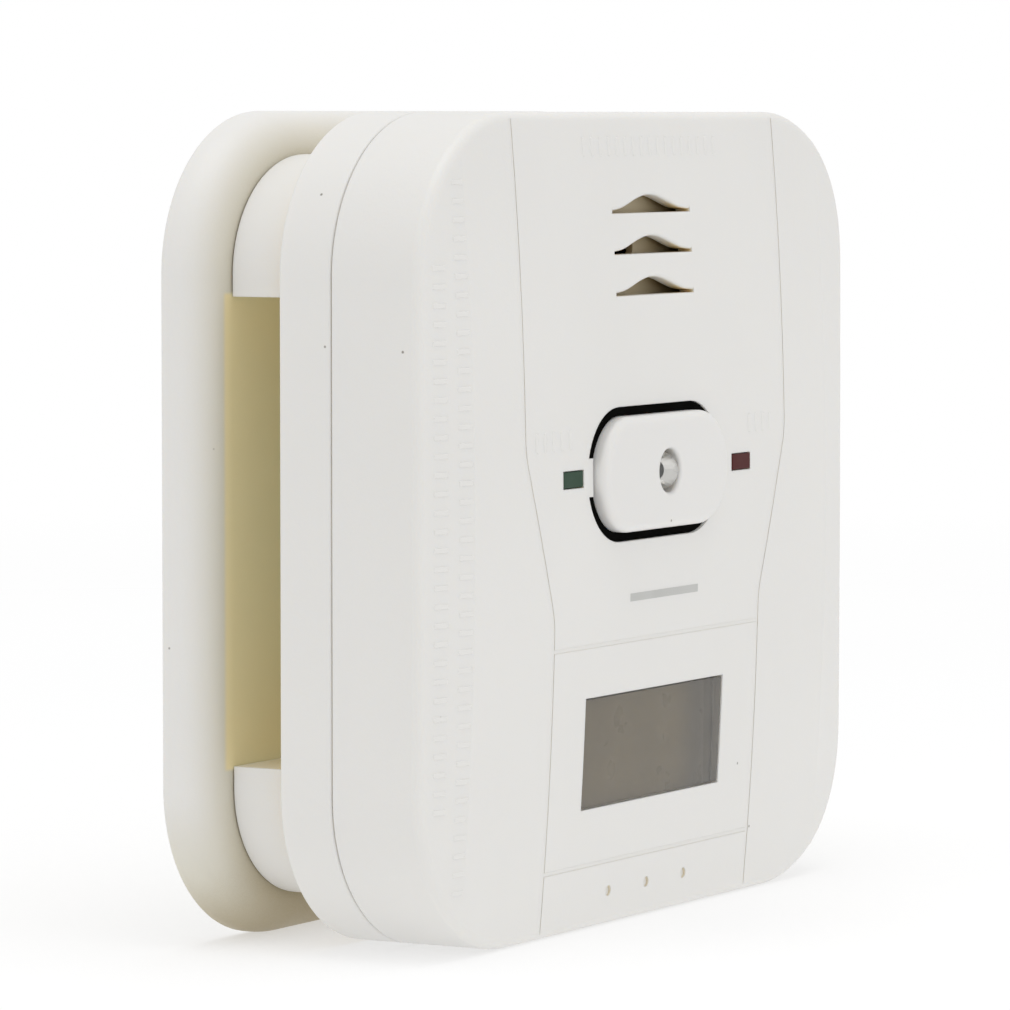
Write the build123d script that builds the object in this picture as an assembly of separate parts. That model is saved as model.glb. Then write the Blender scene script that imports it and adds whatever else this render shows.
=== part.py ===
from build123d import *
import math
import os

# Wall-mounted carbon monoxide alarm, in millimetres.
#
# Frame: +X to the right as seen from the room, +Z up, +Y into the wall.  The origin is the
# middle of the mounting plate's back, on the wall.  Everything stands in front of the wall,
# so places along Y are given as a depth: how far a point stands out from the wall.

# ---------------------------------------------------------------- driving dimensions
BODY_HALF_W = 56.1           # half width of the two covers
BODY_HALF_H = 50.25          # half height of the two covers
BODY_CORNER = (21.5, 19.5)   # corner radii, across and up
NECK_INSET = 5.15            # how far the neck is set in from the covers
PLATE_PROUD = 0.1            # how far the plate stands past the covers
PLATE_DEPTH = 6.8
NECK_LENGTH = 9.82           # from the plate's face to the rear cover's step
REAR_DEPTH = 7.08            # rear cover's side, from its step to the seam
FRONT_DEPTH = 11.95          # front cover's side, from the seam to the front edge
CROWN = 2.3                  # how far the front bulges past its top and bottom edges
BEVEL_W = 9.4                # width of the long bevels on the left and right
WALL = 2.2                   # side walls
SKIN = 2.0                   # front wall and floors

BUTTON_Z = 5.68              # height of the test button and the lamps
LIFT = 6.0                   # how far the alarm is lifted to come off its plate
DOOR_TRAVEL = 6.0            # how far the battery door slides to come off

# ---------------------------------------------------------------- depths that follow
NECK_GAP = 0.12
NECK_BACK = PLATE_DEPTH + NECK_GAP
STEP = PLATE_DEPTH + NECK_LENGTH
SEAM = STEP + REAR_DEPTH
SEAM_GAP = 0.1
FRONT_EDGE = SEAM + FRONT_DEPTH
PEAK = FRONT_EDGE + CROWN
CROWN_R = (BODY_HALF_H ** 2 + CROWN ** 2) / (2 * CROWN)
FLOOR = STEP + SKIN

BOARD_BACK = 27.0
BOARD_FRONT = BOARD_BACK + 1.6


# ---------------------------------------------------------------- building blocks
def rounded(half_w, half_h, radius_x, radius_z):
    """A rectangle with quarter-ellipse corners, centred on the origin."""
    x = half_w - radius_x
    z = half_h - radius_z
    corners = [(x, z, 0), (-x, z, 90), (-x, -z, 180), (x, -z, 270)]
    arcs = [
        EllipticalCenterArc((cx, cz), radius_x, radius_z, start_angle=turn, arc_size=90)
        for cx, cz, turn in corners
    ]
    sides = [Line(arcs[i] @ 1, arcs[(i + 1) % 4] @ 0) for i in range(4)]
    return make_face(Curve() + arcs + sides)


def body_outline(inset=0.0):
    rx, rz = BODY_CORNER
    return rounded(BODY_HALF_W - inset, BODY_HALF_H - inset, rx - inset, rz - inset)


def neck_outline(inset=0.0):
    return body_outline(NECK_INSET + inset)


def plate_outline(inset=0.0):
    return body_outline(inset - PLATE_PROUD)


def stadium(half_w, half_h, x=0.0, z=0.0):
    return Pos(x, z) * SlotOverall(2 * half_w, 2 * half_h)


def slab(sketch, near, far):
    """Extrude a sketch, drawn as seen from the room, from one depth to another."""
    return extrude(Plane.XZ.offset(near) * sketch, amount=far - near)


def block(x_range, depth_range, z_range):
    """A box from its limits across, in depth and up."""
    size = [high - low for low, high in (x_range, depth_range, z_range)]
    x, depth, z = [(low + high) / 2 for low, high in (x_range, depth_range, z_range)]
    return Pos(x, -depth, z) * Box(*size)


def disc(x, z, radius, near, far):
    """A round bar along the depth."""
    return slab(Pos(x, z) * Circle(radius), near, far)


def upright(x, depth, radius, low, high):
    """A round bar along Z."""
    return Pos(x, -depth, (low + high) / 2) * Cylinder(radius, high - low)


def mirror_x(shape):
    return mirror(shape, about=Plane.YZ)


def at_depth(edges, depth, slack=0.05):
    """The edges that lie at one depth."""
    return edges.filter_by_position(Axis.Y, -depth - slack, -depth + slack)


def group(solids, label):
    return Compound(label=label, children=list(solids))


# ---------------------------------------------------------------- mounting plate
PLATE_EDGE_R = 5.4
PLATE_WEB = 2.0
PLATE_RIB = 1.8
SCREW_SPACING = 60.0
SCREW_SLOT = (9.0, 4.5)          # slot for a wall screw: length and width
SCREW_HEAD_DEPTH = 3.0
HOOK_X = 32.0
HOOK_HALF_W = 3.5
HOOK_SHANK_Z = {1: 34.0, -1: -37.0}   # lower edge of each shank, top and bottom pair
HOOK_SHANK = 3.0
HOOK_FOOT = 4.5
HOOK_FOOT_DEPTHS = (2.7, 4.5)
HOOK_CLEAR = 0.3


def mounting_plate():
    shell = slab(plate_outline(), 0, PLATE_DEPTH)
    shell = fillet(at_depth(shell.edges(), PLATE_DEPTH), PLATE_EDGE_R)
    shell = fillet(at_depth(shell.edges(), 0), 0.6)
    web_back = PLATE_DEPTH - PLATE_WEB
    shell -= slab(plate_outline(3.0), 0, web_back)
    room = slab(plate_outline(2.5), 0, web_back)
    ribs = block((-60, 60), (0, web_back), (-PLATE_RIB / 2, PLATE_RIB / 2))
    for x in (-20, 0, 20):
        ribs += block((x - PLATE_RIB / 2, x + PLATE_RIB / 2), (0, web_back), (-60, 60))
    ribs += disc(0, 0, 9, 0, web_back)
    for side in (-1, 1):
        ribs += slab(stadium(9.5, 6.8, side * SCREW_SPACING / 2), 0, web_back)
    shell += ribs & room
    for side in (-1, 1):
        x = side * SCREW_SPACING / 2
        length, width = SCREW_SLOT
        shell -= slab(stadium(length / 2, width / 2, x), -1, PLATE_DEPTH + 1)
        head_room = stadium(length / 2 + 2.4, 4.75, x)
        shell -= slab(head_room, PLATE_DEPTH - SCREW_HEAD_DEPTH, PLATE_DEPTH + 1)
        for end in (1, -1):
            low = HOOK_SHANK_Z[end] - HOOK_CLEAR
            high = HOOK_SHANK_Z[end] + HOOK_SHANK + LIFT + 1.2
            across = HOOK_HALF_W + 0.5
            centre = side * HOOK_X
            hook_room = (centre - across, centre + across)
            shell -= block(hook_room, (web_back - 1, PLATE_DEPTH + 1), (low, high))
    return shell


# ---------------------------------------------------------------- rear cover
CORE_IN = 24.8                 # half width inside the core, which holds the cells and the sensor
CORE_OUT = 26.6
DUCT_HALF_H = 28.2             # half height of the air ducts open at both sides of the neck
PARTITION = 1.6
BAY_TOP = 15.5
BAY_WALL = 1.5
BAY_FLOOR = 24.2
NECK_BOTTOM = -(BODY_HALF_H - NECK_INSET - SKIN)
DOOR_NEAR = NECK_BACK + 0.2
DOOR_FAR = DOOR_NEAR + 1.6
DOOR_HALF_W = 24.3
DOOR_LOW = -42.6
DOOR_HIGH = 15.2
DOOR_TABS = (-34.0, -2.0)      # lower ends of the door's side tabs
TAB_LENGTH = 4.0
SCREW_AT = (42.0, 37.0)
TONGUE = 1.1                   # the rear cover's rim steps in by this much inside the front cover
TONGUE_LENGTH = 1.6
STEP_ROUNDING = 0.3
NECK_ROUNDING = 0.2
SEAM_ROUNDING = 0.3


def core_walls():
    """The box in the middle of the neck: battery bay below, sensor chamber above."""
    top = BODY_HALF_H - NECK_INSET - SKIN
    bay_z = (NECK_BOTTOM - BAY_WALL, BAY_TOP + BAY_WALL)
    walls = block((-CORE_OUT, CORE_OUT), (NECK_BACK, BAY_FLOOR + BAY_WALL), bay_z)
    walls += block((-CORE_OUT, CORE_OUT), (NECK_BACK, BAY_FLOOR), (BAY_TOP, top))
    walls -= block((-CORE_IN, CORE_IN), (NECK_BACK + SKIN, BAY_FLOOR), (NECK_BOTTOM, BAY_TOP))
    walls -= block((-CORE_IN, CORE_IN), (NECK_BACK + SKIN, BOARD_BACK), (BAY_TOP + BAY_WALL, top))
    return walls


def door_opening():
    """Room for the battery door to slide, with undercuts and notches for its side tabs."""
    slide_z = (DOOR_LOW - 0.3, DOOR_HIGH + DOOR_TRAVEL + 0.3)
    room = block((-CORE_IN, CORE_IN), (NECK_BACK - 1, DOOR_FAR + 0.1), slide_z)
    mouth = CORE_IN - 0.6
    room += block((-mouth, mouth), (NECK_BACK - 1, BAY_FLOOR - 6), (NECK_BOTTOM, BAY_TOP - 0.2))
    edge = DOOR_HALF_W + 1.6
    for low in DOOR_TABS:
        high = low + TAB_LENGTH
        undercut = (low - 0.15, high + DOOR_TRAVEL + 0.15)
        room += block((-edge, edge), (DOOR_FAR - 1.15, DOOR_FAR + 0.1), undercut)
        notch = (low + DOOR_TRAVEL - 0.15, high + DOOR_TRAVEL + 0.15)
        room += block((-edge, edge), (NECK_BACK - 1, DOOR_FAR + 0.1), notch)
    return room


def hang_hooks():
    """Four hooks that reach through the plate and hang down behind it."""
    hooks = []
    for side in (-1, 1):
        across = (side * HOOK_X - HOOK_HALF_W, side * HOOK_X + HOOK_HALF_W)
        for end in (1, -1):
            low = HOOK_SHANK_Z[end]
            high = low + HOOK_SHANK
            shank = block(across, (HOOK_FOOT_DEPTHS[0], NECK_BACK), (low, high))
            foot = block(across, HOOK_FOOT_DEPTHS, (low - HOOK_FOOT, high))
            hooks.append(shank + foot)
    return hooks


def rear_cover():
    inner_edge = SEAM - SEAM_GAP / 2
    ring = slab(body_outline(), STEP, inner_edge)
    ring = fillet(at_depth(ring.edges(), STEP), STEP_ROUNDING)
    ring = fillet(at_depth(ring.edges(), inner_edge), SEAM_ROUNDING)
    ring += slab(body_outline(TONGUE), inner_edge - 1, SEAM + TONGUE_LENGTH)
    ring -= slab(body_outline(WALL), FLOOR, SEAM + 5)

    neck = slab(neck_outline(), NECK_BACK, FLOOR)
    neck = fillet(at_depth(neck.edges(), NECK_BACK), NECK_ROUNDING)
    ring += neck
    hollow = slab(neck_outline(SKIN), NECK_BACK + SKIN, SEAM + 5)
    cover = ring - hollow

    inside = slab(neck_outline(1.0), NECK_BACK, BOARD_BACK)
    ledges = Part()
    for side in (-1, 1):
        band = (side * 60, side * CORE_IN) if side < 0 else (CORE_IN, 60)
        ledges += block(band, (STEP, FLOOR), (-DUCT_HALF_H - PARTITION, DUCT_HALF_H + PARTITION))
        for end in (-1, 1):
            z = sorted((end * DUCT_HALF_H, end * (DUCT_HALF_H + PARTITION)))
            ledges += block(band, (NECK_BACK, FLOOR), z)
    cover += (ledges & inside) + core_walls()

    for x in (-SCREW_AT[0], SCREW_AT[0]):
        for z in (-SCREW_AT[1], SCREW_AT[1]):
            cover += disc(x, z, 4.2, NECK_BACK + 1, 22.0)
            cover -= disc(x, z, 3.2, NECK_BACK - 1, 20.0)
            cover -= disc(x, z, 1.6, 19.0, 23.0)

    for side in (-1, 1):
        band = (-60, -CORE_OUT) if side < 0 else (CORE_OUT, 60)
        cover -= block(band, (NECK_BACK - 1, STEP), (-DUCT_HALF_H, DUCT_HALF_H))
        for z in (-20, -10, 0, 10, 20):
            cover -= slab(stadium(7.0, 0.9, side * 40, z), STEP - 1, FLOOR + 1)
        for depth in (12.0, 15.0, 18.0, 21.0):
            cover -= block(sorted((side * 23, side * 28)), (depth, depth + 1.2), (19.5, 27.0))
    for x in range(-12, 13, 4):
        cover -= block((x - 0.8, x + 0.8), (NECK_BACK - 1, NECK_BACK + SKIN + 1), (24.5, 36.5))

    cover -= door_opening()
    for hook in hang_hooks():
        cover += hook
    return cover


# ---------------------------------------------------------------- front cover
FRONT_ROUNDING = 1.2
GROOVE_W = 0.5
GROOVE_DEPTH = 0.06
GROOVE_BEND = 10.0
PANEL_TOP_X = 34.5
PANEL_LOW_X = 27.2
PANEL_Z = (9.2, -11.3)           # where the panel's sides turn in, and where they turn down
GROOVE_ROWS = (-15.0, -42.2)
VENT_HALF_W = 10.3
VENT_RISE = 2.2
VENT_END = 0.3                   # height of a vent's blunt ends
VENT_ROUNDING = 0.4
VENT_ROWS = (37.75, 32.7, 27.6)
BUTTON_OPENING = (17.75, 8.33)
BUTTON_OPENING_X = -1.15
BUTTON_HALF = (16.6, 7.16)
BUTTON_X = -0.5
TAB_REACH = 1.45                 # the guide tab beside the button's left end
TAB_HALF = 2.35
LAMPS = {                        # centre across, and how far the lamp stands proud of the front
    "green_lamp": (-22.5, 0.0),
    "red_lamp": (22.15, 0.1),
}
LAMP_HALF = (2.5, 1.0)
WINDOW_X = (-18.6, 18.0)
WINDOW_Z = (-35.2, -21.38)
DENTS_X = (-10.0, 0.0, 10.0)
DENT_Z = -46.0
DENT_R = 0.65
DENT_DEPTH = 0.3
BOARD_POST_AT = (45.0, 20.0)


def crown_profile(x, inset):
    """The bulged front seen from the side, set back by an inset, with a flat back."""
    reach = BODY_HALF_H + 10
    peak = PEAK - inset
    edge = peak - CROWN_R + math.sqrt(CROWN_R ** 2 - reach ** 2)
    front = ThreePointArc((-edge, -reach), (-peak, 0), (-edge, reach))
    back = Polyline(front @ 1, (0, reach), (0, -reach), front @ 0)
    return Plane.YZ.offset(x) * make_face(Curve() + [front, back])


def side_profile(x, inset):
    """The straight front edge of a side, set back by an inset, with a flat back."""
    reach = BODY_HALF_H + 10
    edge = FRONT_EDGE - inset
    outline = Polyline((-edge, -reach), (-edge, reach), (0, reach), (0, -reach), close=True)
    return Plane.YZ.offset(x) * make_face(outline)


def crown(inset):
    """Everything behind the bulged front, set back by an inset."""
    return extrude(crown_profile(0, inset), amount=BODY_HALF_W + 5, both=True)


def front_block(inset):
    """The bulged middle and the two long bevels, which fade out towards top and bottom."""
    crease = BODY_HALF_W - BEVEL_W
    solid = extrude(crown_profile(0, inset), amount=crease, both=True)
    ends = [crown_profile(crease, inset).face(), side_profile(BODY_HALF_W + 0.01, inset).face()]
    wedge = loft(ends, ruled=True)
    return solid + wedge + mirror_x(wedge)


def front_form(wall, skin, near):
    """The front cover's outer form, or its hollow when walls are given."""
    return slab(body_outline(wall), near, PEAK + 1) & front_block(skin)


def groove_lines():
    """The fine lines round the centre panel, as ribbons seen from the room."""
    turn_in, turn_down = PANEL_Z
    lines = Sketch()
    for side in (-1, 1):
        wide = side * PANEL_TOP_X
        narrow = side * PANEL_LOW_X
        corners = [(wide, 60), (wide, turn_in), (narrow, turn_down), (narrow, -60)]
        path = FilletPolyline(*corners, radius=GROOVE_BEND)
        lines += trace(path, GROOVE_W)
    for z in GROOVE_ROWS:
        lines += Pos(0, z) * Rectangle(2 * PANEL_LOW_X, GROOVE_W)
    return lines


def vent_slot(z):
    """A slot with a flat lower edge, a bell-shaped upper edge and blunt ends."""
    steps = 8
    points = []
    for i in range(steps + 1):
        x = -VENT_HALF_W + 2 * VENT_HALF_W * i / steps
        swell = (1 + math.cos(math.pi * x / VENT_HALF_W)) / 2
        points.append((x, z + VENT_END + (VENT_RISE - VENT_END) * swell))
    top = Spline(*points, tangents=[(1, 0.1), (1, -0.1)])
    base = Polyline(top @ 1, (VENT_HALF_W, z), (-VENT_HALF_W, z), top @ 0)
    return make_face(Curve() + [top, base])


def button_opening(inset=0.0):
    """The opening round the button, less the guide tab that reaches in from its left end."""
    half_w, half_h = BUTTON_OPENING
    opening = stadium(half_w - inset, half_h - inset, BUTTON_OPENING_X, BUTTON_Z)
    tab_end = BUTTON_OPENING_X - half_w + TAB_REACH + inset
    return opening - Pos(tab_end - 5, BUTTON_Z) * Rectangle(10, 2 * (TAB_HALF + inset))


def button_outline(margin=0.0):
    half_w, half_h = BUTTON_HALF
    return stadium(half_w + margin, half_h + margin, BUTTON_X, BUTTON_Z)


def front_openings():
    openings = Part()
    for z in VENT_ROWS:
        openings += slab(vent_slot(z), SEAM, PEAK + 5)
    openings += slab(button_opening(), SEAM, PEAK + 5)
    half_x, half_z = LAMP_HALF
    for x, proud in LAMPS.values():
        lamp = Pos(x, BUTTON_Z) * Rectangle(2 * half_x + 0.2, 2 * half_z + 0.2)
        openings += slab(lamp, SEAM, PEAK + 5)
    openings += block(WINDOW_X, (SEAM, PEAK + 5), WINDOW_Z)
    return openings


def vent_arches(cover):
    """The upper edge of each vent, where it meets the bulged front."""
    front_edges = cover.edges().filter_by(GeomType.BSPLINE).filter_by_position(Axis.Y, -PEAK, 1.6 - PEAK)
    return [edge for edge in front_edges if abs(edge.center().X) < 1 and edge.center().Z > VENT_ROWS[-1]]


def dents():
    """Three shallow round dents under the display."""
    surface = PEAK - DENT_Z ** 2 / (2 * CROWN_R)
    return Part() + [disc(x, DENT_Z, DENT_R, surface - DENT_DEPTH, PEAK) for x in DENTS_X]


def front_cover():
    outer_edge = SEAM + SEAM_GAP / 2
    cover = front_form(0, 0, outer_edge)
    front_edges = cover.edges().filter_by_position(Axis.Y, -PEAK - 1, -FRONT_EDGE + 0.5)
    crease = BODY_HALF_W - BEVEL_W
    rim = [edge for edge in front_edges if abs(abs(edge.center().X) - crease) > 0.1]
    cover = fillet(rim, FRONT_ROUNDING)
    cover = fillet(at_depth(cover.edges(), outer_edge), SEAM_ROUNDING)
    cover -= front_form(WALL, SKIN, outer_edge - 1)
    cover -= slab(body_outline(TONGUE - 0.1), outer_edge - 1, SEAM + TONGUE_LENGTH + 0.2)

    posts = Part()
    for x in (-SCREW_AT[0], SCREW_AT[0]):
        for z in (-SCREW_AT[1], SCREW_AT[1]):
            posts += disc(x, z, 3.2, 22.4, PEAK)
    for x in (-BOARD_POST_AT[0], BOARD_POST_AT[0]):
        for z in (-BOARD_POST_AT[1], BOARD_POST_AT[1]):
            posts += disc(x, z, 2.5, BOARD_FRONT, PEAK)
    cover += posts & front_form(1.0, 0.8, 20)
    for x in (-SCREW_AT[0], SCREW_AT[0]):
        for z in (-SCREW_AT[1], SCREW_AT[1]):
            cover -= disc(x, z, 1.5, 20, 33)
    for x in (-BOARD_POST_AT[0], BOARD_POST_AT[0]):
        for z in (-BOARD_POST_AT[1], BOARD_POST_AT[1]):
            cover -= disc(x, z, 1.0, 20, 33)

    grooves = slab(groove_lines(), SEAM, PEAK + 5) - crown(GROOVE_DEPTH)
    cover -= grooves
    cover -= front_openings()
    cover = fillet(vent_arches(cover), VENT_ROUNDING)
    return cover - dents()


# ---------------------------------------------------------------- test button and its switch
BUTTON_PROUD = 1.5
BUTTON_ROUNDING = 1.0
LAMP_HOLE = (2.7, 0.5)            # radius, and rounding of its rim
FLANGE_FAR = 34.6
FLANGE_W = 1.9                   # reach of the flange that keeps the button in
STEM_X = 9.5
SWITCH_TOP = 32.1
PLUNGER_TOP = 33.1
STEM_TIP = PLUNGER_TOP + 0.35
SEAL_GAP = 0.15
SEAL_TOP = PEAK - 0.4


def test_button():
    face = PEAK + BUTTON_PROUD
    button = slab(button_outline(), FLANGE_FAR - 1, face)
    button = fillet(at_depth(button.edges(), face), BUTTON_ROUNDING)
    button += slab(button_outline(FLANGE_W), FLANGE_FAR - 1, FLANGE_FAR)
    button -= slab(button_outline(-1.4), FLANGE_FAR - 2, face - 1.6)
    for x in (-STEM_X, STEM_X):
        button += disc(x, BUTTON_Z, 1.6, STEM_TIP, face - 1)
    button -= disc(0, BUTTON_Z, LAMP_HOLE[0], FLANGE_FAR, face + 1)
    rim = at_depth(button.edges().filter_by(GeomType.CIRCLE), face)
    return fillet(rim, LAMP_HOLE[1])


def button_seal():
    """The soft black ring round the button, parted by the guide tab."""
    ring = button_opening(0.05) - button_outline(SEAL_GAP)
    return slab(ring, FLANGE_FAR + 0.4, SEAL_TOP)


def switch_base():
    base = block((STEM_X - 3, STEM_X + 3), (BOARD_FRONT, SWITCH_TOP), (BUTTON_Z - 3, BUTTON_Z + 3))
    base = chamfer(base.edges().filter_by(Axis.Y), 0.4)
    return base - disc(STEM_X, BUTTON_Z, 1.8, SWITCH_TOP - 1.2, SWITCH_TOP + 1)


def switch_plunger():
    plunger = disc(STEM_X, BUTTON_Z, 1.72, SWITCH_TOP - 0.8, PLUNGER_TOP)
    return fillet(at_depth(plunger.edges(), PLUNGER_TOP), 0.2)


# ---------------------------------------------------------------- lamps
LAMP_BACK = 30.2
POWER_LAMP_PROUD = 0.7
LEAD = 0.25


def side_lamp(name):
    x, proud = LAMPS[name]
    half_x, half_z = LAMP_HALF
    front = PEAK - BUTTON_Z ** 2 / (2 * CROWN_R) + proud
    lamp = block((x - half_x, x + half_x), (LAMP_BACK, front), (BUTTON_Z - half_z, BUTTON_Z + half_z))
    return fillet(at_depth(lamp.edges(), front), 0.2)


def power_lamp():
    """A clear round lamp with a domed end, which looks out through the button."""
    radius = 2.45
    tip = PEAK + BUTTON_PROUD + POWER_LAMP_PROUD
    lamp = disc(0, BUTTON_Z, radius, LAMP_BACK - 0.3, tip - radius)
    lamp += Pos(0, -(tip - radius), BUTTON_Z) * Sphere(radius)
    return lamp + disc(0, BUTTON_Z, 2.85, LAMP_BACK - 0.3, LAMP_BACK + 0.7)


def lamp_leads():
    leads = []
    for x in [0] + [x for x, proud in LAMPS.values()]:
        near_end = LAMP_BACK - 0.3 if x == 0 else LAMP_BACK
        for step in (-1.27, 1.27):
            across = (x + step - LEAD, x + step + LEAD)
            up = (BUTTON_Z - LEAD, BUTTON_Z + LEAD)
            leads.append(block(across, (BOARD_FRONT, near_end), up))
    return group(leads, "lamp_leads")


# ---------------------------------------------------------------- display
DISPLAY_BACK = 31.7
DISPLAY_FRONT = 34.5
DISPLAY_HALF_W = 20.5
DISPLAY_Z = (-37.3, -19.2)
LENS_SET_BACK = 0.1
LENS_GAP = 0.2                   # round the lens, in its window
LENS_BACK = DISPLAY_FRONT + 0.1


def display_lens():
    left, right = WINDOW_X
    low, high = WINDOW_Z
    across = (left + LENS_GAP, right - LENS_GAP)
    lens = block(across, (LENS_BACK, PEAK), (low + LENS_GAP, high - LENS_GAP))
    return lens & crown(LENS_SET_BACK)


def display_panel():
    low, high = DISPLAY_Z
    back = block((-DISPLAY_HALF_W, DISPLAY_HALF_W), (DISPLAY_BACK, DISPLAY_BACK + 1.4), (low, high))
    step = block((-DISPLAY_HALF_W, DISPLAY_HALF_W), (DISPLAY_BACK + 1.4, DISPLAY_FRONT), (low, high - 1.8))
    return back + step


def display_frame():
    low, high = DISPLAY_Z
    outer = block((-22.2, 22.2), (BOARD_FRONT, DISPLAY_FRONT - 0.4), (low - 1.6, high + 1.6))
    inner = block((-DISPLAY_HALF_W - 0.1, DISPLAY_HALF_W + 0.1), (DISPLAY_BACK, PEAK), (low - 0.1, high + 0.1))
    under = block((-19.0, 19.0), (BOARD_FRONT - 1, PEAK), (low + 0.2, high - 0.2))
    return outer - inner - under


def display_connectors():
    """Two rubber strips that join the display's glass to the board."""
    low, high = DISPLAY_Z
    strips = [
        block((-18.0, 18.0), (BOARD_FRONT, DISPLAY_BACK), (z, z + 1.8))
        for z in (low + 0.5, high - 2.3)
    ]
    return group(strips, "display_connectors")


# ---------------------------------------------------------------- circuit board
BOARD_HALF = (49.0, 45.0)


def circuit_board():
    board = slab(rounded(*BOARD_HALF, 14, 14), BOARD_BACK, BOARD_FRONT)
    for x in (-1, 1):
        for z in (-1, 1):
            board -= disc(x * SCREW_AT[0], z * SCREW_AT[1], 4.4, 20, 40)
            board -= disc(x * BOARD_POST_AT[0], z * BOARD_POST_AT[1], 1.3, 20, 40)
    return board


def board_chips():
    """Processor, amplifier and driver, each a flat moulded package with its legs."""
    chips = []
    for x, z, half in ((30.0, -22.0, 5.0), (-32.0, 24.0, 3.0), (30.0, 26.0, 3.0)):
        body = block((x - half, x + half), (BOARD_FRONT + 0.1, BOARD_FRONT + 1.6), (z - half, z + half))
        body = chamfer(at_depth(body.edges(), BOARD_FRONT + 1.6), 0.2)
        count = int(half * 1.6)
        for i in range(count):
            up = z + (i - (count - 1) / 2) * 1.1
            across = (x - half - 1, x + half + 1)
            body += block(across, (BOARD_FRONT, BOARD_FRONT + 0.3), (up - 0.2, up + 0.2))
        chips.append(body)
    return group(chips, "board_chips")


CANS = ((-30.0, -24.0, 3.0, 4.8), (-38.0, -22.0, 2.5, 4.4), (38.0, 30.0, 2.5, 4.4))


def capacitors():
    cans = []
    for x, z, radius, height in CANS:
        can = disc(x, z, radius, BOARD_FRONT, BOARD_FRONT + height)
        cans.append(fillet(at_depth(can.edges(), BOARD_FRONT + height), 0.4))
    return group(cans, "capacitors")


def horn_coil():
    """The coil that steps the voltage up for the horn, on its ferrite drum."""
    x, z = -30.0, 34.0
    drum = disc(x, z, 4.0, BOARD_FRONT, BOARD_FRONT + 0.8)
    drum += disc(x, z, 2.0, BOARD_FRONT, BOARD_FRONT + 4.6)
    return drum + disc(x, z, 4.0, BOARD_FRONT + 3.8, BOARD_FRONT + 4.6)


def horn_winding():
    x, z = -30.0, 34.0
    return disc(x, z, 3.4, BOARD_FRONT + 0.8, BOARD_FRONT + 3.8) - disc(x, z, 2.0, 20, 40)


# ---------------------------------------------------------------- horn and gas sensor
HORN_AT = (-1.5, 33.6)
HORN_R = 11.2
HORN_HALF = (14.5, 11.3)         # its case, which also fills the view through the vents
HORN_TOP = 33.4
HORN_MOUTH = 2.6
SENSOR_AT = (0.0, 31.0)
SENSOR_R = 10.0
SENSOR_BACK = 11.6


def horn_case():
    x, z = HORN_AT
    case = slab(Pos(0, z) * rounded(*HORN_HALF, 4, 4), BOARD_FRONT, HORN_TOP)
    case -= disc(x, z, HORN_R - 1.0, BOARD_FRONT - 1, 30.2)
    case -= disc(x, z, HORN_R - 1.9, BOARD_FRONT, HORN_TOP - 0.9)
    return case - disc(x, z, HORN_MOUTH, BOARD_FRONT, HORN_TOP + 1)


def horn_disc():
    """The brass disc and, on its back, the ceramic that bends it."""
    x, z = HORN_AT
    return disc(x, z, HORN_R - 1.1, 29.9, 30.2)


def horn_ceramic():
    x, z = HORN_AT
    return disc(x, z, 6.5, 29.7, 29.9)


def sensor_body():
    x, z = SENSOR_AT
    body = disc(x, z, SENSOR_R, SENSOR_BACK + 2.2, BOARD_BACK - 0.6)
    return chamfer(at_depth(body.edges(), BOARD_BACK - 0.6), 0.5)


def sensor_cap():
    """The pressed steel cap that lets gas in through a ring of holes."""
    x, z = SENSOR_AT
    cap = disc(x, z, SENSOR_R - 0.6, SENSOR_BACK, SENSOR_BACK + 2.2)
    cap = fillet(at_depth(cap.edges(), SENSOR_BACK), 0.6)
    for i in range(8):
        turn = i * math.pi / 4
        cap -= disc(x + 5 * math.cos(turn), z + 5 * math.sin(turn), 0.7, SENSOR_BACK - 1, SENSOR_BACK + 1)
    return cap


def sensor_pins():
    x, z = SENSOR_AT
    pins = [disc(x + step, z, 0.5, BOARD_BACK - 0.6, BOARD_BACK) for step in (-6.5, 0, 6.5)]
    return group(pins, "sensor_pins")


# ---------------------------------------------------------------- battery bay
CELL_R = 7.1
CELL_PITCH = 15.2
CELL_DEPTH = 16.6
CAN_LENGTH = 49.2
NUB_LENGTH = 1.3
NUB_R = 2.7
CONTACT = 0.4
DIMPLE = 0.95
SPRING_LENGTH = 6.3
SPRING_WIRE_R = 0.35
LOW_CONTACT = NECK_BOTTOM + CONTACT
HIGH_CONTACT = BAY_TOP - CONTACT


def cell(x, up):
    """One round cell; its nub points up or down."""
    if up:
        base = LOW_CONTACT + SPRING_LENGTH
        can = (base, base + CAN_LENGTH)
        nub = (can[1], can[1] + NUB_LENGTH)
    else:
        base = HIGH_CONTACT - SPRING_LENGTH
        can = (base - CAN_LENGTH, base)
        nub = (can[0] - NUB_LENGTH, can[0])
    body = upright(x, CELL_DEPTH, CELL_R, *can)
    body = fillet(body.edges(), 0.4)
    return body + upright(x, CELL_DEPTH, NUB_R, *nub)


def contact_plates():
    """Flat plates at both ends of the bay; the flat ones have a raised dimple."""
    plates = []
    for x, up in CELLS:
        across = (x - 6.5, x + 6.5)
        depths = (CELL_DEPTH - 6.0, CELL_DEPTH + 6.0)
        low = block(across, depths, (NECK_BOTTOM, LOW_CONTACT))
        high = block(across, depths, (HIGH_CONTACT, BAY_TOP))
        if up:
            high += upright(x, CELL_DEPTH, 2.0, HIGH_CONTACT - DIMPLE, HIGH_CONTACT)
        else:
            low += upright(x, CELL_DEPTH, 2.0, LOW_CONTACT, LOW_CONTACT + DIMPLE)
        plates += [low, high]
    return group(plates, "contact_plates")


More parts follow.
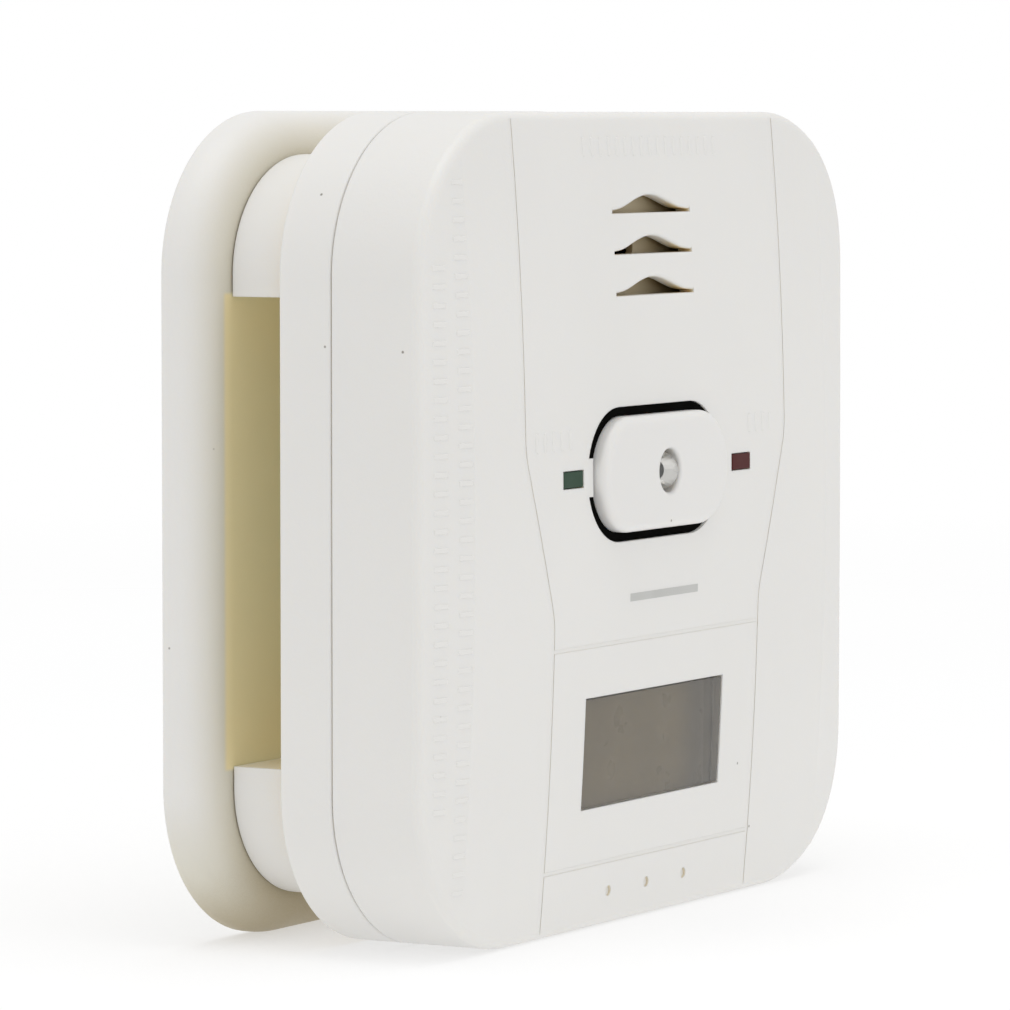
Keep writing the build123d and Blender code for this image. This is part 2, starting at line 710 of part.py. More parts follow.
def contact_springs():
    """A conical spring under the flat end of each cell, wide where it sits on its plate."""
    springs = []
    rise = SPRING_LENGTH - 2 * SPRING_WIRE_R
    for x, up in CELLS:
        path = Helix(pitch=rise / 4, height=rise, radius=4.6, cone_angle=-18)
        coil = sweep(Plane(origin=path @ 0, z_dir=path % 0) * Circle(SPRING_WIRE_R), path=path)
        if up:
            place = Pos(x, -CELL_DEPTH, LOW_CONTACT + SPRING_WIRE_R)
        else:
            place = Pos(x, -CELL_DEPTH, HIGH_CONTACT - SPRING_WIRE_R) * Rot(180, 0, 0)
        springs.append(place * coil)
    return group(springs, "contact_springs")


def battery_door():
    door = block((-DOOR_HALF_W, DOOR_HALF_W), (DOOR_NEAR, DOOR_FAR), (DOOR_LOW, DOOR_HIGH))
    edge = DOOR_HALF_W + 1.3
    for low in DOOR_TABS:
        door += block((-edge, edge), (DOOR_FAR - 0.9, DOOR_FAR), (low, low + TAB_LENGTH))
    for i in range(5):
        z = 4.0 + i * 1.8
        door -= slab(stadium(8.0, 0.4, 0, z), DOOR_NEAR - 1, DOOR_NEAR + 0.5)
    return door


CELLS = ((-CELL_PITCH, True), (0.0, False), (CELL_PITCH, True))


# ---------------------------------------------------------------- fasteners
def housing_screws():
    """Self-tapping screws, driven from the back, that hold the two covers together."""
    screws = []
    for x in (-SCREW_AT[0], SCREW_AT[0]):
        for z in (-SCREW_AT[1], SCREW_AT[1]):
            head = disc(x, z, 2.7, 18.0, 20.0)
            head = fillet(at_depth(head.edges(), 18.0), 0.6)
            head -= block((x - 1.5, x + 1.5), (17, 18.9), (z - 0.3, z + 0.3))
            head -= block((x - 0.3, x + 0.3), (17, 18.9), (z - 1.5, z + 1.5))
            screws.append(head + disc(x, z, 1.42, 20.0, 31.0))
    return group(screws, "housing_screws")


def board_screws():
    screws = []
    for x in (-BOARD_POST_AT[0], BOARD_POST_AT[0]):
        for z in (-BOARD_POST_AT[1], BOARD_POST_AT[1]):
            head = disc(x, z, 2.0, BOARD_BACK - 1.3, BOARD_BACK)
            head = fillet(at_depth(head.edges(), BOARD_BACK - 1.3), 0.4)
            screws.append(head + disc(x, z, 0.92, BOARD_BACK, 32.0))
    return group(screws, "board_screws")


# ---------------------------------------------------------------- the assembly
NODES = {
    "mounting_plate": mounting_plate,
    "rear_cover": rear_cover,
    "front_cover": front_cover,
    "test_button": test_button,
    "button_seal": button_seal,
    "switch_base": switch_base,
    "switch_plunger": switch_plunger,
    "green_lamp": lambda: side_lamp("green_lamp"),
    "red_lamp": lambda: side_lamp("red_lamp"),
    "power_lamp": power_lamp,
    "lamp_leads": lamp_leads,
    "display_lens": display_lens,
    "display_panel": display_panel,
    "display_frame": display_frame,
    "display_connectors": display_connectors,
    "circuit_board": circuit_board,
    "board_chips": board_chips,
    "capacitors": capacitors,
    "horn_coil": horn_coil,
    "horn_winding": horn_winding,
    "horn_case": horn_case,
    "horn_disc": horn_disc,
    "horn_ceramic": horn_ceramic,
    "sensor_body": sensor_body,
    "sensor_cap": sensor_cap,
    "sensor_pins": sensor_pins,
    "battery_cell_left": lambda: cell(*CELLS[0]),
    "battery_cell_middle": lambda: cell(*CELLS[1]),
    "battery_cell_right": lambda: cell(*CELLS[2]),
    "contact_plates": contact_plates,
    "contact_springs": contact_springs,
    "battery_door": battery_door,
    "housing_screws": housing_screws,
    "board_screws": board_screws,
}

os.makedirs("parts", exist_ok=True)
for name, make in NODES.items():
    export_step(make(), os.path.join("parts", name + ".step"))
    print(name)
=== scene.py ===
import math

import bmesh
import bpy
from mathutils import Matrix, Vector


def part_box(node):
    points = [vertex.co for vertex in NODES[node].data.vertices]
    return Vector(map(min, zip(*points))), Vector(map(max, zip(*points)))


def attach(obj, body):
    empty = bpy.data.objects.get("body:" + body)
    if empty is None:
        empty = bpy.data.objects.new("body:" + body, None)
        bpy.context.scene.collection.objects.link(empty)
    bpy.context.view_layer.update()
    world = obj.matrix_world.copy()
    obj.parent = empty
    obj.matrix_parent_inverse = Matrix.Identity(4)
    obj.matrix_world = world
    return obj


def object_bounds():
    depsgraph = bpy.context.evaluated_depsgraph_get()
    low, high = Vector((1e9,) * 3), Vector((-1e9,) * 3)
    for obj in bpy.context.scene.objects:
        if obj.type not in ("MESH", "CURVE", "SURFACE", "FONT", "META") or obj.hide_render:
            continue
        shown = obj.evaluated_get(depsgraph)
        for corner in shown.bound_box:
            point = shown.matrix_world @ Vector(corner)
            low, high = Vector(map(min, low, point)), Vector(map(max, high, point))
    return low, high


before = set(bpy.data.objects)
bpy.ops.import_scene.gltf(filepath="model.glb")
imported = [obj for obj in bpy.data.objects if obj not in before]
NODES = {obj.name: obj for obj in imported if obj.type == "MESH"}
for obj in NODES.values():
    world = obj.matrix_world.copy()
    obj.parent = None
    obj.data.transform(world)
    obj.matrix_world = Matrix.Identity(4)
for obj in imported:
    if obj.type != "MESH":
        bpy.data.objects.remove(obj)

CAD_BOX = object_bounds()
MM = 0.001

# ---------------------------------------------------------------- places, worked out from the frame
COVER = NODES["front_cover"]
COVER_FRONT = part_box("front_cover")[0][1]
LAMP_LOW, LAMP_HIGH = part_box("power_lamp")
FLOOR_Z = CAD_BOX[0][2]


# ---------------------------------------------------------------- node helpers
def new_material(name):
    material = bpy.data.materials.new(name)
    material.use_nodes = True
    tree = material.node_tree
    return material, tree, tree.nodes["Principled BSDF"]


def add(tree, kind, **settings):
    node = tree.nodes.new(kind)
    for key, value in settings.items():
        if key in node.inputs.keys():
            node.inputs[key].default_value = value
        else:
            setattr(node, key, value)
    return node


def link(tree, output, socket):
    tree.links.new(output, socket)


def place_of(tree):
    return add(tree, "ShaderNodeTexCoord").outputs["Object"]


def axes_of(tree):
    """The outputs that give a point's X, Y and Z."""
    node = add(tree, "ShaderNodeSeparateXYZ")
    link(tree, place_of(tree), node.inputs[0])
    return node.outputs


def noise(tree, scale, detail=2.0, roughness=0.5):
    node = add(tree, "ShaderNodeTexNoise", Scale=scale, Detail=detail, Roughness=roughness)
    link(tree, place_of(tree), node.inputs["Vector"])
    return node.outputs["Fac"]


def ramp(tree, factor, stops):
    node = add(tree, "ShaderNodeValToRGB")
    elements = node.color_ramp.elements
    while len(elements) < len(stops):
        elements.new(0.5)
    for element, (position, colour) in zip(elements, stops):
        element.position = position
        element.color = (*colour, 1.0)
    link(tree, factor, node.inputs["Fac"])
    return node.outputs["Color"]


def grey(value):
    return (value, value, value)


def mix(tree, factor, first, second, kind="MIX"):
    node = add(tree, "ShaderNodeMix", data_type="RGBA", blend_type=kind)
    for value, socket in ((factor, node.inputs[0]), (first, node.inputs[6]), (second, node.inputs[7])):
        if isinstance(value, bpy.types.NodeSocket):
            link(tree, value, socket)
        elif isinstance(value, tuple):
            socket.default_value = (*value, 1.0)
        else:
            socket.default_value = value
    return node.outputs[2]


def bump(tree, shader, heights, normal=None):
    """Chains bumps: each is (height output, strength, distance in metres)."""
    for height, strength, distance in heights:
        node = add(tree, "ShaderNodeBump", Strength=strength, Distance=distance)
        link(tree, height, node.inputs["Height"])
        if normal is not None:
            link(tree, normal, node.inputs["Normal"])
        normal = node.outputs["Normal"]
    link(tree, normal, shader.inputs["Normal"])


# ---------------------------------------------------------------- materials
WHITE = (1.0, 1.0, 1.0)
BLACK = (0.0, 0.0, 0.0)
PLAIN = [(0.0, WHITE), (1.0, WHITE)]

# Painted shade for white plastic: ochre tints that darken hollows, by how open a place is: 0 is deep in a
# hollow, 1 is open.
WARM_PAINTED_SHADE = [(0.0, (1.0, 0.80, 0.42)), (0.25, (1.0, 0.86, 0.54)), (0.45, (1.0, 0.97, 0.92)), (0.55, WHITE)]
DUCT_PAINTED_SHADE = [(0.0, (1.0, 0.76, 0.32)), (0.45, (1.0, 0.79, 0.38)), (0.65, (1.0, 0.95, 0.86)), (0.78, WHITE)]
PLATE_PAINTED_SHADE = [(0.0, (0.5, 0.42, 0.26)), (0.45, (0.88, 0.86, 0.77)), (0.8, (0.93, 0.915, 0.86)), (0.97, WHITE)]
HORN_PAINTED_SHADE = [(0.0, (0.5, 0.38, 0.2)), (0.12, (0.95, 0.85, 0.65)), (0.3, WHITE)]
# Painted light: emission colours for hollows, where no lamp is.
HOLLOW_PAINTED_LIGHT = [(0.0, (0.02, 0.015, 0.005)), (0.45, (0.10, 0.08, 0.03)), (0.7, BLACK)]
HOLLOW_SAMPLES = 6

# The plate's thin web, which shows through the air ducts, with painted shade and painted light: an ochre tint
# and a faint emission there stand in for shade and for light that comes through.
WEB_FACE = 6.7                    # just behind the plate's front, in millimetres from the wall
WEB_HALF = (52.4, 28.6)           # how far the part that shows reaches, across and up
WEB_EDGE = (0.2, 0.3)             # how softly it ends, in depth and sideways
WEB_PAINTED_SHADE = (0.72, 0.58, 0.33)
WEB_PAINTED_LIGHT = (0.085, 0.105, 0.07)

# The unlit display, with painted shade that darkens its right end.
GLASS_TONE = (0.138, 0.101, 0.034)
GLASS_PAINTED_SHADE = (0.055, 0.040, 0.014)
GLASS_SHADE_SPAN = (7.0, 14.5)       # from where to where, in millimetres across

# White plastic's surface.  Noise scales are per metre; a higher one is finer.
CLOUD_SCALE = 28.0
CLOUD_TONES = [(0.3, grey(0.975)), (0.7, WHITE)]
WORN_SCALE = 60.0
WORN_RANGE = (-0.05, 0.08)        # how much smoother and rougher than the rest
GRAIN_SCALE = 2600.0
GRAIN_HEIGHT = 0.1 * MM
SAG_SCALE = 45.0                  # slow waves left by the mould
SAG_STRENGTH = 0.04
SAG_HEIGHT = 2.0 * MM
EDGE_SOFTNESS = 0.25 * MM
EDGE_SAMPLES = 4
SUBSURFACE = 0.2
SUBSURFACE_TINT = (1.0, 0.88, 0.70)
SUBSURFACE_REACH = 1.5 * MM
PLASTIC_SPECULAR = 0.4
SPECK_DENSITY = 120.0             # a few specks on each large face
SPECK_STOPS = [(0.012, (0.35, 0.33, 0.30)), (0.026, WHITE)]

# The surface of every simple material.
TONE_SCALE = 90.0
LOW_TONE = 0.9                    # its darkest parts, as a share of its colour
GLOSS_SCALE = 240.0
GLOSS_RANGE = (0.85, 1.2)         # its smoothest and roughest parts, as a share of its roughness
FINE_SCALE = 900.0
FINE_STRENGTH = 0.05
FINE_HEIGHT = 0.2 * MM

# Clear plastic's surface.
CLEAR_TONE_SCALE = 200.0
CLEAR_PALE = 1.04                 # its palest parts, as a share of its tint
CLEAR_GLOSS_SCALE = 400.0
CLEAR_ROUGH = 2.5                 # its roughest parts, as a share of its roughness


def specks(tree):
    """Single dark dots about 0.35 mm across, here and there, as dust leaves on pale plastic."""
    cells = add(tree, "ShaderNodeTexVoronoi", Scale=SPECK_DENSITY)
    link(tree, place_of(tree), cells.inputs["Vector"])
    return ramp(tree, cells.outputs["Distance"], SPECK_STOPS)


def fade_out(tree, value, start, end):
    """1 up to the start, 0 from the end on, for a place given in millimetres."""
    node = add(tree, "ShaderNodeMapRange", interpolation_type="SMOOTHSTEP")
    for socket, number in zip(list(node.inputs)[1:5], (start * MM, end * MM, 1.0, 0.0)):
        socket.default_value = number
    link(tree, value, node.inputs[0])
    return node.outputs[0]


def web_shade_mask(tree):
    """1 where the plate is only its thin web and shows through the air ducts, 0 elsewhere: where its painted
    shade and painted light go.
    """
    depth_edge, side_edge = WEB_EDGE
    axes = axes_of(tree)
    mask = fade_out(tree, axes["Y"], -WEB_FACE, -WEB_FACE + depth_edge)
    for axis, reach in zip("XZ", WEB_HALF):
        size = add(tree, "ShaderNodeMath", operation="ABSOLUTE")
        link(tree, axes[axis], size.inputs[0])
        within = fade_out(tree, size.outputs[0], reach - side_edge, reach + side_edge)
        product = add(tree, "ShaderNodeMath", operation="MULTIPLY")
        link(tree, mask, product.inputs[0])
        link(tree, within, product.inputs[1])
        mask = product.outputs[0]
    return mask


def white_plastic(
    name,
    base=(0.80, 0.79, 0.765),
    grain=0.1,
    roughness=0.42,
    hollow_shade=WARM_PAINTED_SHADE,
    reach=12.0 * MM,
    own=True,
    painted_light=None,
    thin=False,
):
    """Warm off-white moulded plastic, with painted shade: an ochre tint that darkens its hollows.

    Hollows are felt as far as reach, in the piece's own mesh or, if own is False, in all of them.
    Painted light may be given: an emission in hollows, standing in for light that comes through the wall.  A
    thin piece, such as the raised ticks, has neither softened edges nor light under its skin.
    """
    material, tree, shader = new_material(name)
    hollow = add(tree, "ShaderNodeAmbientOcclusion", samples=HOLLOW_SAMPLES, Distance=reach, only_local=own)
    # painted light: the hollows give off light, though no lamp is there
    if painted_light:
        link(tree, ramp(tree, hollow.outputs["AO"], painted_light), shader.inputs["Emission Color"])
        shader.inputs["Emission Strength"].default_value = 1.0
    # painted shade: the ochre tint that darkens hollows, by how open the place is
    shade_tint = ramp(tree, hollow.outputs["AO"], hollow_shade)
    cloud = ramp(tree, noise(tree, CLOUD_SCALE, 4.0), CLOUD_TONES)
    tone = base
    for layer in (cloud, specks(tree), shade_tint):
        tone = mix(tree, 1.0, tone, layer, "MULTIPLY")
    link(tree, tone, shader.inputs["Base Color"])
    smooth, rough = WORN_RANGE
    worn = [(0.3, grey(roughness + smooth)), (0.7, grey(roughness + rough))]
    link(tree, ramp(tree, noise(tree, WORN_SCALE, 3.0), worn), shader.inputs["Roughness"])
    fine = (noise(tree, GRAIN_SCALE), grain, GRAIN_HEIGHT)
    sag = (noise(tree, SAG_SCALE), SAG_STRENGTH, SAG_HEIGHT)
    shader.inputs["Specular IOR Level"].default_value = PLASTIC_SPECULAR
    if thin:
        bump(tree, shader, [fine, sag])
        return material
    soft_edge = add(tree, "ShaderNodeBevel", samples=EDGE_SAMPLES, Radius=EDGE_SOFTNESS)
    bump(tree, shader, [fine, sag], soft_edge.outputs["Normal"])
    shader.inputs["Subsurface Weight"].default_value = SUBSURFACE
    shader.inputs["Subsurface Radius"].default_value = SUBSURFACE_TINT
    shader.inputs["Subsurface Scale"].default_value = SUBSURFACE_REACH
    return material


def opened(material):
    """A finished material's tree, its shader, and the output that its colour comes from."""
    tree = material.node_tree
    shader = tree.nodes["Principled BSDF"]
    return tree, shader, shader.inputs["Base Color"].links[0].from_socket


def plate_plastic():
    """The plate's white plastic, with painted shade where other pieces crowd it, and painted ochre shade and
    painted light on its web where it shows through the air ducts.
    """
    material = white_plastic("plate_plastic", hollow_shade=PLATE_PAINTED_SHADE, reach=20.0 * MM, own=False)
    tree, shader, tone = opened(material)
    web = web_shade_mask(tree)
    # painted shade and painted light on the web
    link(tree, mix(tree, web, tone, WEB_PAINTED_SHADE), shader.inputs["Base Color"])
    link(tree, mix(tree, web, BLACK, WEB_PAINTED_LIGHT), shader.inputs["Emission Color"])
    shader.inputs["Emission Strength"].default_value = 1.0
    return material


def simple(name, colour, roughness, metallic=0.0, specular=0.5):
    """A plain material with fine grain, and tone and roughness that vary a little."""
    material, tree, shader = new_material(name)
    smooth, rough = GLOSS_RANGE
    tones = [(0.3, tuple(c * LOW_TONE for c in colour)), (0.7, colour)]
    link(tree, ramp(tree, noise(tree, TONE_SCALE, 4.0), tones), shader.inputs["Base Color"])
    glosses = [(0.3, grey(roughness * smooth)), (0.7, grey(min(roughness * rough, 1.0)))]
    link(tree, ramp(tree, noise(tree, GLOSS_SCALE, 3.0), glosses), shader.inputs["Roughness"])
    shader.inputs["Metallic"].default_value = metallic
    shader.inputs["Specular IOR Level"].default_value = specular
    bump(tree, shader, [(noise(tree, FINE_SCALE), FINE_STRENGTH, FINE_HEIGHT)])
    return material


def display_glass():
    """The unlit display, with painted shade that darkens it towards its right end."""
    material = simple("display_glass", GLASS_TONE, 0.3, specular=0.2)
    tree, shader, tone = opened(material)
    # painted shade: darker from the first place across to the second
    left_part = fade_out(tree, axes_of(tree)["X"], *GLASS_SHADE_SPAN)
    link(tree, mix(tree, left_part, GLASS_PAINTED_SHADE, tone), shader.inputs["Base Color"])
    return material


def clear_plastic(name, tint, roughness=0.03, ior=1.5):
    """Clear plastic, with faint clouds and patches that are less smooth, as handling leaves."""
    material, tree, shader = new_material(name)
    shader.inputs["Transmission Weight"].default_value = 1.0
    shader.inputs["IOR"].default_value = ior
    pale = tuple(min(c * CLEAR_PALE, 1.0) for c in tint)
    tones = [(0.3, tint), (0.7, pale)]
    link(tree, ramp(tree, noise(tree, CLEAR_TONE_SCALE), tones), shader.inputs["Base Color"])
    glosses = [(0.4, grey(roughness)), (0.7, grey(roughness * CLEAR_ROUGH))]
    link(tree, ramp(tree, noise(tree, CLEAR_GLOSS_SCALE, 3.0), glosses), shader.inputs["Roughness"])
    return material


def paint(material, *nodes):
    for node in nodes:
        mesh = NODES[node].data
        mesh.materials.clear()
        mesh.materials.append(material)


FRONT_PLASTIC = white_plastic("front_plastic")
TICK_PLASTIC = white_plastic("tick_plastic", hollow_shade=PLAIN, thin=True)
GREY_INK = simple("grey_ink", (0.55, 0.55, 0.53), 0.6)
REFLECTOR = simple("reflector", (0.78, 0.77, 0.74), 0.25, 1.0)
DIE = simple("die", (0.06, 0.06, 0.055), 0.3)

SIMPLE_FINISHES = {                  # colour, roughness, metal or not, specular, and its nodes
    "black_rubber": ((0.003, 0.003, 0.0025), 0.9, 0.0, 0.02, ("button_seal",)),
    "black_plastic": (
        (0.02, 0.02, 0.022), 0.45, 0.0, 0.5,
        ("switch_base", "switch_plunger", "board_chips"),
    ),
    "green_lens": ((0.045, 0.080, 0.055), 0.5, 0.0, 0.08, ("green_lamp",)),
    "red_lens": ((0.090, 0.026, 0.025), 0.5, 0.0, 0.08, ("red_lamp",)),
    "strip_rubber": ((0.6, 0.42, 0.45), 0.6, 0.0, 0.5, ("display_connectors",)),
    "board_laminate": ((0.02, 0.13, 0.05), 0.35, 0.0, 0.5, ("circuit_board",)),
    "can_aluminium": ((0.7, 0.7, 0.72), 0.3, 1.0, 0.5, ("capacitors",)),
    "ferrite": ((0.05, 0.05, 0.052), 0.6, 0.0, 0.5, ("horn_coil",)),
    "copper_wire": ((0.6, 0.22, 0.08), 0.3, 1.0, 0.5, ("horn_winding",)),
    "disc_brass": ((0.75, 0.55, 0.22), 0.3, 1.0, 0.5, ("horn_disc",)),
    "piezo_ceramic": ((0.7, 0.68, 0.62), 0.5, 0.0, 0.5, ("horn_ceramic",)),
    "sensor_steel": ((0.6, 0.6, 0.6), 0.3, 1.0, 0.5, ("sensor_cap", "sensor_pins", "lamp_leads")),
    "cell_jacket": (
        (0.02, 0.022, 0.03), 0.3, 0.0, 0.5,
        ("battery_cell_left", "battery_cell_middle", "battery_cell_right"),
    ),
    "spring_steel": ((0.62, 0.61, 0.58), 0.28, 1.0, 0.5, ("contact_plates", "contact_springs")),
    "screw_steel": ((0.5, 0.5, 0.49), 0.35, 1.0, 0.5, ("housing_screws", "board_screws")),
}


def paint_white_pieces():
    # painted shade: a strong ochre tint in the rear cover's air ducts, and painted light in its hollows
    rear = white_plastic("rear_plastic", hollow_shade=DUCT_PAINTED_SHADE, reach=30.0 * MM, painted_light=HOLLOW_PAINTED_LIGHT)
    # painted shade: the inner pieces' darker ochre colour and their tint in hollows stand for the shade
    # inside, seen through the vents
    inner = white_plastic("inner_plastic", (0.66, 0.585, 0.43), 0.08, 0.5, HORN_PAINTED_SHADE, own=False)
    paint(FRONT_PLASTIC, "front_cover")
    paint(rear, "rear_cover", "battery_door")
    paint(plate_plastic(), "mounting_plate")
    paint(white_plastic("button_plastic", (0.80, 0.79, 0.77), 0.05, 0.34), "test_button")
    paint(inner, "display_frame", "horn_case")
    paint(white_plastic("sensor_plastic", (0.74, 0.70, 0.60), 0.08, 0.5), "sensor_body")


def paint_everything():
    paint_white_pieces()
    for name, (*finish, nodes) in SIMPLE_FINISHES.items():
        paint(simple(name, *finish), *nodes)
    paint(display_glass(), "display_panel")
    paint(clear_plastic("clear_lens", (0.97, 0.97, 0.965)), "power_lamp")
    paint(clear_plastic("display_window", (0.96, 0.94, 0.90), 0.02, ior=1.35), "display_lens")


# ---------------------------------------------------------------- marks on the front
MARK_SUNK = 0.01 * MM                # how far a mark's foot lies under the surface
TICK_RISE = 0.06 * MM
TICK_SLOPE = 0.14 * MM               # how far the sloping sides reach in from the foot
TICK_ROWS = (                        # first and last tick across, height, how many, in millimetres
    (-16.6, 17.9, 46.0, 17),
    (-31.6, -23.2, 10.5, 5),
    (24.6, 30.4, 10.5, 4),
)
TICK_COLUMNS = (                     # place across, lowest and highest tick, how many
    (-52.4, -32.0, 32.0, 30),
    (-48.2, -42.0, 42.0, 39),
)
TICK_HALF = 1.2 * MM
TICK_HALF_NARROW = 0.32 * MM
BAR_AT = (1.35 * MM, -9.7 * MM)      # the pale grey printed bar under the button
BAR_HALF = (9.05 * MM, 0.5 * MM)
INK = 0.01 * MM                      # its thickness
RAY_START = 10.0 * MM                # how far ahead of the cover a ray on to it starts


def on_front(x, z):
    """The point of the front cover that lies straight ahead of a place on the wall."""
    start = Vector((x, COVER_FRONT - RAY_START, z))
    return COVER.ray_cast(start, Vector((0, 1, 0)))[1]


def add_bar(mesh, centre, half, rise, slope):
    """A low bar with sloping sides, laid on the front cover."""
    rings = []
    for inset, out in ((0.0, -MARK_SUNK), (slope, rise)):
        corners = ((-1, -1), (1, -1), (1, 1), (-1, 1))
        places = [[centre[i] + side[i] * (half[i] - inset) for i in (0, 1)] for side in corners]
        rings.append([mesh.verts.new(on_front(*place) - Vector((0, out, 0))) for place in places])
    base, top = rings
    mesh.faces.new(top)
    mesh.faces.new(base[::-1])
    for i in range(4):
        j = (i + 1) % 4
        mesh.faces.new((base[i], base[j], top[j], top[i]))


def make_piece(mesh, name, material, body):
    """Makes a finished piece from a bmesh, riding on a body."""
    bmesh.ops.recalc_face_normals(mesh, faces=mesh.faces)
    data = bpy.data.meshes.new(name)
    mesh.to_mesh(data)
    mesh.free()
    data.materials.append(material)
    piece = bpy.data.objects.new(name, data)
    bpy.context.scene.collection.objects.link(piece)
    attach(piece, body)


def between(first, last, count):
    """Evenly spaced numbers from the first to the last."""
    return [first + (last - first) * i / (count - 1) for i in range(count)]


def make_ticks():
    """Rows and columns of plain raised ticks, moulded into the front."""
    mesh = bmesh.new()
    for first, last, z, count in TICK_ROWS:
        for x in between(first, last, count):
            add_bar(mesh, (x * MM, z * MM), (TICK_HALF_NARROW, TICK_HALF), TICK_RISE, TICK_SLOPE)
    for x, low, high, count in TICK_COLUMNS:
        for z in between(low, high, count):
            add_bar(mesh, (x * MM, z * MM), (TICK_HALF, TICK_HALF_NARROW), TICK_RISE, TICK_SLOPE)
    make_piece(mesh, "raised_ticks", TICK_PLASTIC, "alarm")


def make_printed_bar():
    mesh = bmesh.new()
    add_bar(mesh, BAR_AT, BAR_HALF, INK, INK)
    make_piece(mesh, "printed_bar", GREY_INK, "alarm")


# ---------------------------------------------------------------- what is cast into the round lamp
CUP_PROFILE = (                       # radius, and depth behind the lamp's tip, in millimetres
    (0.0, 3.6), (0.5, 3.6), (1.7, 2.2), (2.1, 2.2), (2.1, 5.2), (0.0, 5.2),
)
DIE_PROFILE = ((0.0, 2.3), (0.6, 2.3), (0.7, 2.4), (0.7, 3.5), (0.0, 3.5))
CUP_SIDES = 32
SAME_POINT = MM / 1000


def make_turned(name, profile, material):
    """A turned piece on the round lamp's axis."""
    x = (LAMP_LOW[0] + LAMP_HIGH[0]) / 2
    z = (LAMP_LOW[2] + LAMP_HIGH[2]) / 2
    mesh = bmesh.new()
    points = [mesh.verts.new((x + radius * MM, LAMP_LOW[1] + depth * MM, z)) for radius, depth in profile]
    edges = [mesh.edges.new(pair) for pair in zip(points, points[1:])]
    bmesh.ops.spin(
        mesh,
        geom=points + edges,
        cent=(x, 0, z),
        axis=(0, 1, 0),
        angle=math.tau,
        steps=CUP_SIDES,
        use_merge=True,
    )
    bmesh.ops.remove_doubles(mesh, verts=mesh.verts, dist=SAME_POINT)
    make_piece(mesh, name, material, "alarm")


# ---------------------------------------------------------------- floor, light and camera
CAMERA_AZIMUTH = math.radians(-60.76)
CAMERA_ELEVATION = math.radians(3.75)
CAMERA_DISTANCE = 0.7532
CAMERA_LENS = 212.4                   # millimetres, as is the sensor's width
SENSOR_WIDTH = 36.0
CLIP_START = 0.05
AIM_Y = -16.85 * MM                   # the camera aims this far in front of the origin
AIM_SHIFT = (-0.94 * MM, 0.66 * MM)   # and, as it sees things, this far beside and above that

FLOOR_RADIUS = 3.0
FLOOR_SIDES = 96
FLOOR_CLOUD_SCALE = 3.0
FLOOR_TONES = [(0.3, grey(0.49)), (0.7, grey(0.51))]
FLOOR_FADE = [(0.12, BLACK), (0.75, WHITE)]
FLOOR_GLOW = 0.5                      # lifts the paper to the white of its surroundings
STUDIO_LIGHT = 0.80
LIGHT_SIZE = 0.8
LIGHT_AIM = (0.0, -20.0 * MM, 0.0)
LIGHTS = {                            # watts, and place
    "key": (3.1, (-0.15, -0.1, 1.0)),
    "fill": (0.6, (0.25, -1.0, 0.1)),
}


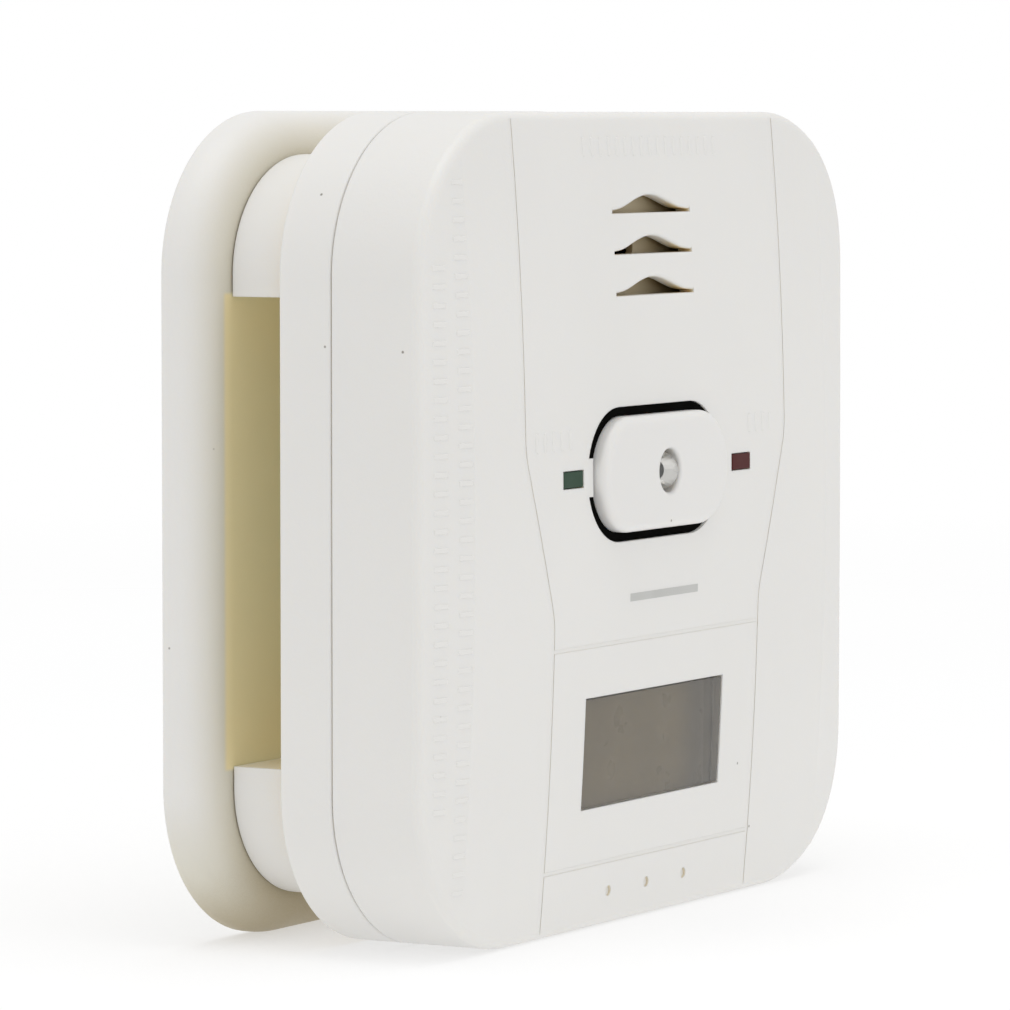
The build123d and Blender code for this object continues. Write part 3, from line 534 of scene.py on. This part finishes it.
def make_floor():
    """A pale disc that fades into the white surroundings well before its rim."""
    bpy.ops.mesh.primitive_circle_add(
        vertices=FLOOR_SIDES,
        radius=FLOOR_RADIUS,
        fill_type="NGON",
        location=(0, 0, FLOOR_Z),
    )
    floor = bpy.context.object
    floor.name = "floor"
    material, tree, shader = new_material("floor_paper")
    link(tree, ramp(tree, noise(tree, FLOOR_CLOUD_SCALE), FLOOR_TONES), shader.inputs["Base Color"])
    shader.inputs["Roughness"].default_value = 0.9
    shader.inputs["Specular IOR Level"].default_value = 0.0
    shader.inputs["Emission Color"].default_value = (1, 1, 1, 1)
    shader.inputs["Emission Strength"].default_value = FLOOR_GLOW
    distance = add(tree, "ShaderNodeVectorMath", operation="LENGTH")
    link(tree, place_of(tree), distance.inputs[0])
    fade = ramp(tree, distance.outputs["Value"], FLOOR_FADE)
    clear = add(tree, "ShaderNodeBsdfTransparent")
    blend = add(tree, "ShaderNodeMixShader")
    link(tree, fade, blend.inputs["Fac"])
    link(tree, shader.outputs["BSDF"], blend.inputs[1])
    link(tree, clear.outputs["BSDF"], blend.inputs[2])
    link(tree, blend.outputs["Shader"], tree.nodes["Material Output"].inputs["Surface"])
    floor.data.materials.append(material)


def area_light(name, power, place):
    light = bpy.data.lights.new(name, "AREA")
    light.energy = power
    light.size = LIGHT_SIZE
    lamp = bpy.data.objects.new(name, light)
    bpy.context.scene.collection.objects.link(lamp)
    lamp.location = place
    lamp.rotation_euler = (Vector(LIGHT_AIM) - lamp.location).to_track_quat("-Z", "Y").to_euler()


def make_light():
    """Even light from all around, which the camera sees as plain white, and two soft lamps."""
    world = bpy.data.worlds.new("studio")
    bpy.context.scene.world = world
    world.use_nodes = True
    tree = world.node_tree
    background = tree.nodes["Background"]
    background.inputs["Color"].default_value = (1, 1, 1, 1)
    seen = add(tree, "ShaderNodeLightPath").outputs["Is Camera Ray"]
    strength = add(tree, "ShaderNodeMix", data_type="FLOAT")
    strength.inputs[2].default_value = STUDIO_LIGHT
    strength.inputs[3].default_value = 1.0
    link(tree, seen, strength.inputs[0])
    link(tree, strength.outputs[0], background.inputs["Strength"])
    for name, (power, place) in LIGHTS.items():
        area_light(name, power, place)


def make_camera():
    a, e = CAMERA_AZIMUTH, CAMERA_ELEVATION
    back = Vector((math.sin(a) * math.cos(e), -math.cos(a) * math.cos(e), math.sin(e)))
    right = Vector((-back.y, back.x, 0)).normalized()
    up = back.cross(right)
    right_shift, up_shift = AIM_SHIFT
    aim = Vector((0, AIM_Y, 0)) + right * right_shift + up * up_shift
    data = bpy.data.cameras.new("camera")
    data.lens = CAMERA_LENS
    data.sensor_width = SENSOR_WIDTH
    data.clip_start = CLIP_START
    camera = bpy.data.objects.new("camera", data)
    bpy.context.scene.collection.objects.link(camera)
    turn = Matrix((right, up, back)).transposed()
    camera.matrix_world = Matrix.Translation(aim + back * CAMERA_DISTANCE) @ turn.to_4x4()
    bpy.context.scene.camera = camera


make_floor()
make_light()
make_camera()
paint_everything()
make_ticks()
make_printed_bar()
make_turned("lamp_reflector", CUP_PROFILE, REFLECTOR)
make_turned("lamp_die", DIE_PROFILE, DIE)
bpy.context.scene.view_settings.view_transform = "Standard"
